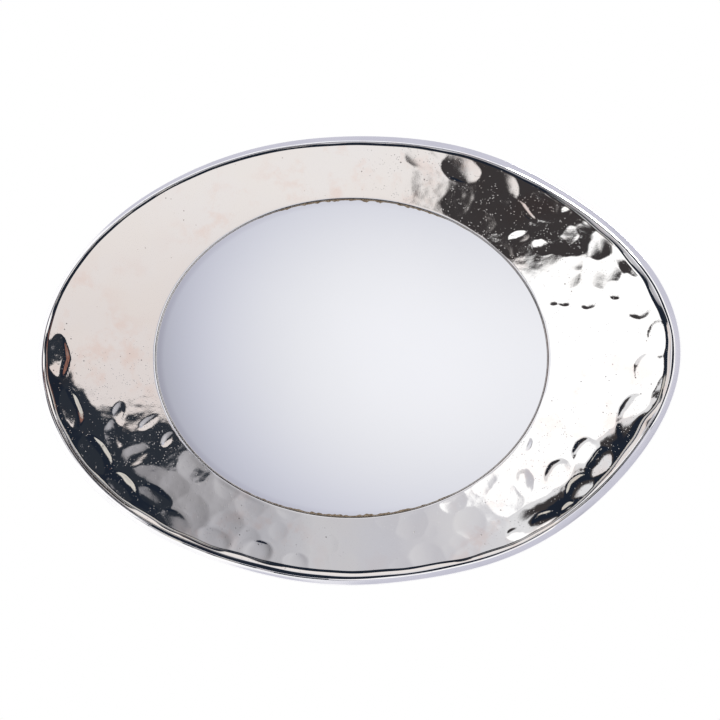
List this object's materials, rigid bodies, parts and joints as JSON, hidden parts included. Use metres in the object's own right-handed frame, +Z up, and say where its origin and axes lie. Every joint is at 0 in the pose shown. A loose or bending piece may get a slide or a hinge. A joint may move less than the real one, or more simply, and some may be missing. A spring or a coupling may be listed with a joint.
{
  "type": "wall mirror",
  "caption": "Eye-shaped wall mirror: hammered silver-coloured metal frame round an oval glass, wooden core, back board and a folding hanging ring.",
  "frame": {"origin": "the point where the nail carries the hanging ring, inside the top of its loop", "axes": "+X to the right seen from the front, +Y towards the wall, +Z up; the mirror faces -Y"},
  "size_m": [0.2596, 0.0166, 0.1815],
  "materials": {
    "hammered_silver": "polished nickel-silver sheet with hammer marks, fine scratches and pits",
    "band_silver": "smooth polished nickel-silver strip, slightly cloudy",
    "mirror_glass": "silvered float glass with a ground edge",
    "putty": "dry tan putty, crumbly",
    "core_wood": "sawn softwood",
    "pad_felt": "grey felt",
    "board_wood": "brown hardboard, smooth side out",
    "tack_steel": "tinned steel, dulled",
    "screw_brass": "worn brass",
    "hanger_steel": "zinc-plated steel",
    "bumper_felt": "pressed felt"
  },
  "bodies": {
    "mirror": {"hammered_face": "hammered_silver", "side_band": "band_silver", "mirror_glass": "mirror_glass", "glazing_putty": "putty", "wood_core": "core_wood", "backing_pad": "pad_felt", "back_board": "board_wood", "band_tacks": "tack_steel", "board_screws": "screw_brass", "hanger_strap": "hanger_steel", "hanger_screws": "screw_brass", "bumper_top_right": "bumper_felt", "bumper_top_left": "bumper_felt", "bumper_bottom_left": "bumper_felt", "bumper_bottom_right": "bumper_felt"},
    "ring": {"hanging_ring": "hanger_steel"}
  },
  "joints": [
    {"name": "ring_hinge", "type": "hinge", "parent": "mirror", "child": "ring", "pos_m": [0, 0, -0.009], "axis": [-1, 0, 0], "range_deg": [0, 170]}
  ]
}
